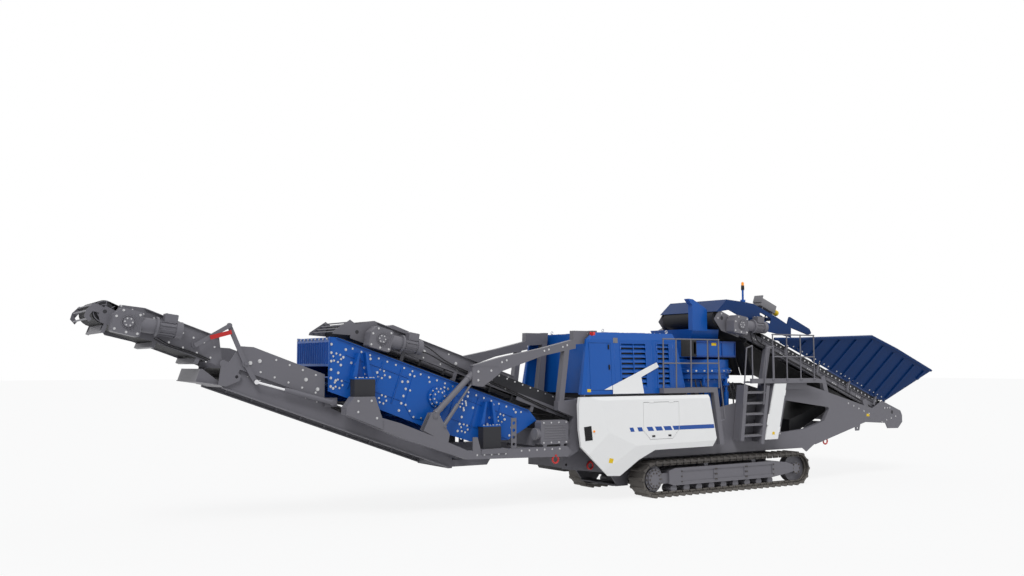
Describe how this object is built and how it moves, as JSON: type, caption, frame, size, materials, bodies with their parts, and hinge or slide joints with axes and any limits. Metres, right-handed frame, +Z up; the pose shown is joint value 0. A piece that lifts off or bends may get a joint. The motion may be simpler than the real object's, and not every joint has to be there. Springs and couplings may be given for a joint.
{
  "type": "tracked cone crusher with screening unit",
  "caption": "Tracked cone crusher with a feed hopper at one end and a long screening unit with a folding fines conveyor at the other.",
  "frame": {"origin": "on the ground under the middle of the whole machine", "axes": "+X towards the feed hopper, +Z up, +Y to the far side away from the ladder"},
  "size_m": [22.1102, 3.8566, 5.18],
  "materials": {
    "grey_paint": "satin paint",
    "blue_paint": "gloss paint",
    "white_paint": "satin paint",
    "track_steel": "bare steel, dull",
    "engine_iron": "dark enamel",
    "belt_rubber": "matt",
    "dark_rubber": "matt",
    "drum_rubber": "matt",
    "beacon_lens": "clear orange",
    "red_paint": "gloss paint",
    "rod_chrome": "polished"
  },
  "bodies": {
    "machine": {"track_frame_near": "grey_paint", "track_frame_far": "grey_paint", "chassis": "grey_paint", "feeder_frame": "grey_paint", "feeder_drive": "grey_paint", "platform_left": "grey_paint", "platform_right": "grey_paint", "ladder": "grey_paint", "discharge_frame": "grey_paint", "discharge_drive": "grey_paint", "hanger_near": "grey_paint", "hanger_far": "grey_paint", "subframe": "grey_paint", "cross_frame": "grey_paint", "return_conveyor": "grey_paint", "fines_frame": "grey_paint", "crusher": "blue_paint", "hood": "blue_paint", "feed_chute": "blue_paint", "hopper_rear": "blue_paint", "head_cover": "blue_paint", "screen_box": "blue_paint", "vibrators": "blue_paint", "cover_near": "white_paint", "cover_far": "white_paint", "track_near": "track_steel", "track_far": "track_steel", "engine": "engine_iron", "feeder_belt": "belt_rubber", "discharge_belt": "belt_rubber", "cross_belt": "belt_rubber", "fines_belt": "belt_rubber", "feeder_skirts": "dark_rubber", "discharge_skirts": "dark_rubber", "spring_boots": "dark_rubber", "beacon": "beacon_lens"},
    "head": {"head_frame": "grey_paint", "head_belt": "belt_rubber", "head_drive": "grey_paint"},
    "head_drum": {"head_drum": "drum_rubber"},
    "fold_lever": {"fold_lever": "grey_paint"},
    "fold_link": {"fold_link": "grey_paint", "safety_strut": "red_paint"},
    "fold_barrel": {"fold_barrel": "grey_paint"},
    "fold_rod": {"fold_rod": "rod_chrome"},
    "hopper_near": {"hopper_near": "blue_paint"},
    "hopper_far": {"hopper_far": "blue_paint"},
    "hood_door": {"hood_door": "blue_paint"},
    "hatch": {"hatch": "white_paint"},
    "locker_door": {"locker_door": "white_paint"},
    "feeder_drum": {"feeder_drum": "drum_rubber"},
    "feeder_tail_drum": {"feeder_tail_drum": "drum_rubber"},
    "discharge_drum": {"discharge_drum": "drum_rubber"},
    "discharge_tail_drum": {"discharge_tail_drum": "drum_rubber"}
  },
  "joints": [
    {"name": "fines_fold", "type": "hinge", "parent": "machine", "child": "head", "pos_m": [-8.62901, 0, 3.08], "axis": [0, 1, 0], "range_deg": [0, 60]},
    {"name": "head_drum_spin", "type": "hinge", "parent": "head", "child": "head_drum", "pos_m": [-10.71893, 0, 3.98965], "axis": [0, 1, 0], "continuous": true},
    {"name": "lever_turn", "type": "hinge", "parent": "machine", "child": "fold_lever", "pos_m": [-8.22901, -0.79, 3.08], "axis": [0, 1, 0], "range_deg": [0, 51.52]},
    {"name": "link_turn", "type": "hinge", "parent": "fold_lever", "child": "fold_link", "pos_m": [-8.54901, -0.82, 3.79], "axis": [0, 1, 0], "range_deg": [-26.06, 0]},
    {"name": "cylinder_swing", "type": "hinge", "parent": "machine", "child": "fold_barrel", "pos_m": [-6.50901, -0.828, 2.33], "axis": [0, 1, 0], "range_deg": [-3.66, 0]},
    {"name": "cylinder_stroke", "type": "slide", "parent": "fold_barrel", "child": "fold_rod", "axis": [-0.9655, 0, 0.2604], "range_m": [0, 0.3254]},
    {"name": "near_wall_fold", "type": "hinge", "parent": "machine", "child": "hopper_near", "pos_m": [5.67435, -1.1, 3.68389], "axis": [-0.9323, 0, 0.3616], "range_deg": [0, 33]},
    {"name": "far_wall_fold", "type": "hinge", "parent": "machine", "child": "hopper_far", "pos_m": [5.67435, 1.1, 3.68389], "axis": [0.9323, 0, -0.3616], "range_deg": [0, 33]},
    {"name": "hood_door_swing", "type": "hinge", "parent": "machine", "child": "hood_door", "pos_m": [-0.55501, -1.27213, 3], "axis": [0, -0.0564, -0.9984], "range_deg": [0, 110]},
    {"name": "hatch_lift", "type": "hinge", "parent": "machine", "child": "hatch", "pos_m": [1.33599, -1.506, 2.204], "axis": [-1, 0, 0], "range_deg": [0, 85]},
    {"name": "locker_swing", "type": "hinge", "parent": "machine", "child": "locker_door", "pos_m": [5.20599, -1.476, 1.2], "axis": [0.2475, 0, 0.9689], "range_deg": [0, 100]},
    {"name": "feeder_head_spin", "type": "hinge", "parent": "machine", "child": "feeder_drum", "pos_m": [3.74099, 0, 4.23], "axis": [0, 1, 0], "continuous": true},
    {"name": "feeder_tail_spin", "type": "hinge", "parent": "machine", "child": "feeder_tail_drum", "pos_m": [10.17403, 0, 1.73479], "axis": [0, 1, 0], "continuous": true},
    {"name": "discharge_head_spin", "type": "hinge", "parent": "machine", "child": "discharge_drum", "pos_m": [-5.92707, 0, 3.72035], "axis": [0, 1, 0], "continuous": true},
    {"name": "discharge_tail_spin", "type": "hinge", "parent": "machine", "child": "discharge_tail_drum", "pos_m": [3.50395, 0, 0.51732], "axis": [0, 1, 0], "continuous": true}
  ],
  "couplings": [
    {"joint": "lever_turn", "follows": "fines_fold", "ratio": 0.8337},
    {"joint": "link_turn", "follows": "fines_fold", "ratio": -0.42174},
    {"joint": "cylinder_swing", "follows": "fines_fold", "ratio": -0.059187},
    {"joint": "cylinder_stroke", "follows": "fines_fold", "m_per_rad": 0.30172}
  ]
}
